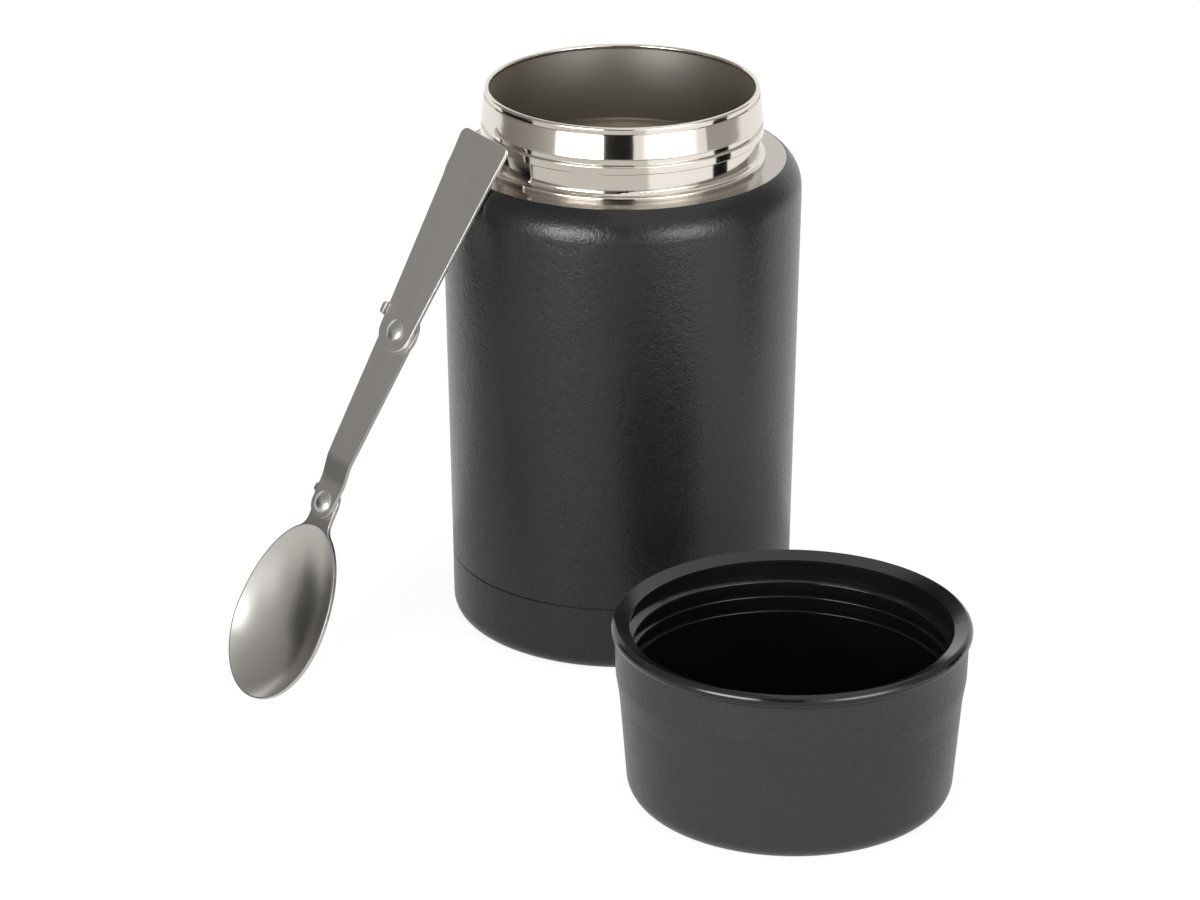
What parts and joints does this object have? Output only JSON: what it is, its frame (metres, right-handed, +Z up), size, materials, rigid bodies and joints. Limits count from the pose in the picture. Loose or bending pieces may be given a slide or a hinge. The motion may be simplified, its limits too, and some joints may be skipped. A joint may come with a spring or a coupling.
{
  "type": "insulated food jar",
  "caption": "Double-walled steel food jar standing open, with its screw-off lid set down as a bowl and a riveted folding spoon leaning on the shoulder.",
  "frame": {"origin": "on the jar's axis, at the underside that rests on the table", "axes": "+Z up along the jar's axis, out of its mouth; the bowl lid stands towards -Y and +X, the spoon leans from -X and -Y"},
  "size_m": [0.1909, 0.2075, 0.1489],
  "materials": {
    "coated_steel": "black powder coat with a fine grain",
    "polished_steel": "mirror polished",
    "plain_steel": "plain",
    "copper": "bright copper foil",
    "solder": "dull solder",
    "black_plastic": "glossy",
    "brushed_steel": "satin, finely brushed along the piece",
    "rivet_steel": "bright"
  },
  "bodies": {
    "jar": {"outer_shell": "coated_steel", "neck_ring": "polished_steel", "inner_liner": "polished_steel", "copper_shield": "copper", "vacuum_bottom": "plain_steel", "seal_plug": "solder", "getter": "plain_steel", "base_cup": "coated_steel"},
    "bowl_lid": {"lid_bowl_shell": "coated_steel", "lid_bowl_liner": "black_plastic"},
    "link": {"spoon_link": "brushed_steel", "handle_rivet": "rivet_steel", "bowl_rivet": "rivet_steel"},
    "handle": {"spoon_handle": "brushed_steel"},
    "spoon": {"spoon_bowl": "brushed_steel"}
  },
  "joints": [
    {"name": "bowl_lift", "type": "slide", "parent": "jar", "child": "bowl_lid", "axis": [0, 0, 1], "range_m": [0, 0.15]},
    {"name": "spoon_lift", "type": "slide", "parent": "jar", "child": "link", "axis": [-0.6792, -0.5461, 0.4904], "range_m": [0, 0.1]},
    {"name": "handle_fold", "type": "hinge", "parent": "link", "child": "handle", "pos_m": [-0.05844, -0.03233, 0.09199], "axis": [0.6792, 0.5461, -0.4904], "range_deg": [0, 180]},
    {"name": "bowl_fold", "type": "hinge", "parent": "link", "child": "spoon", "pos_m": [-0.07935, -0.04458, 0.0494], "axis": [-0.6792, -0.5461, 0.4904], "range_deg": [0, 175]}
  ]
}
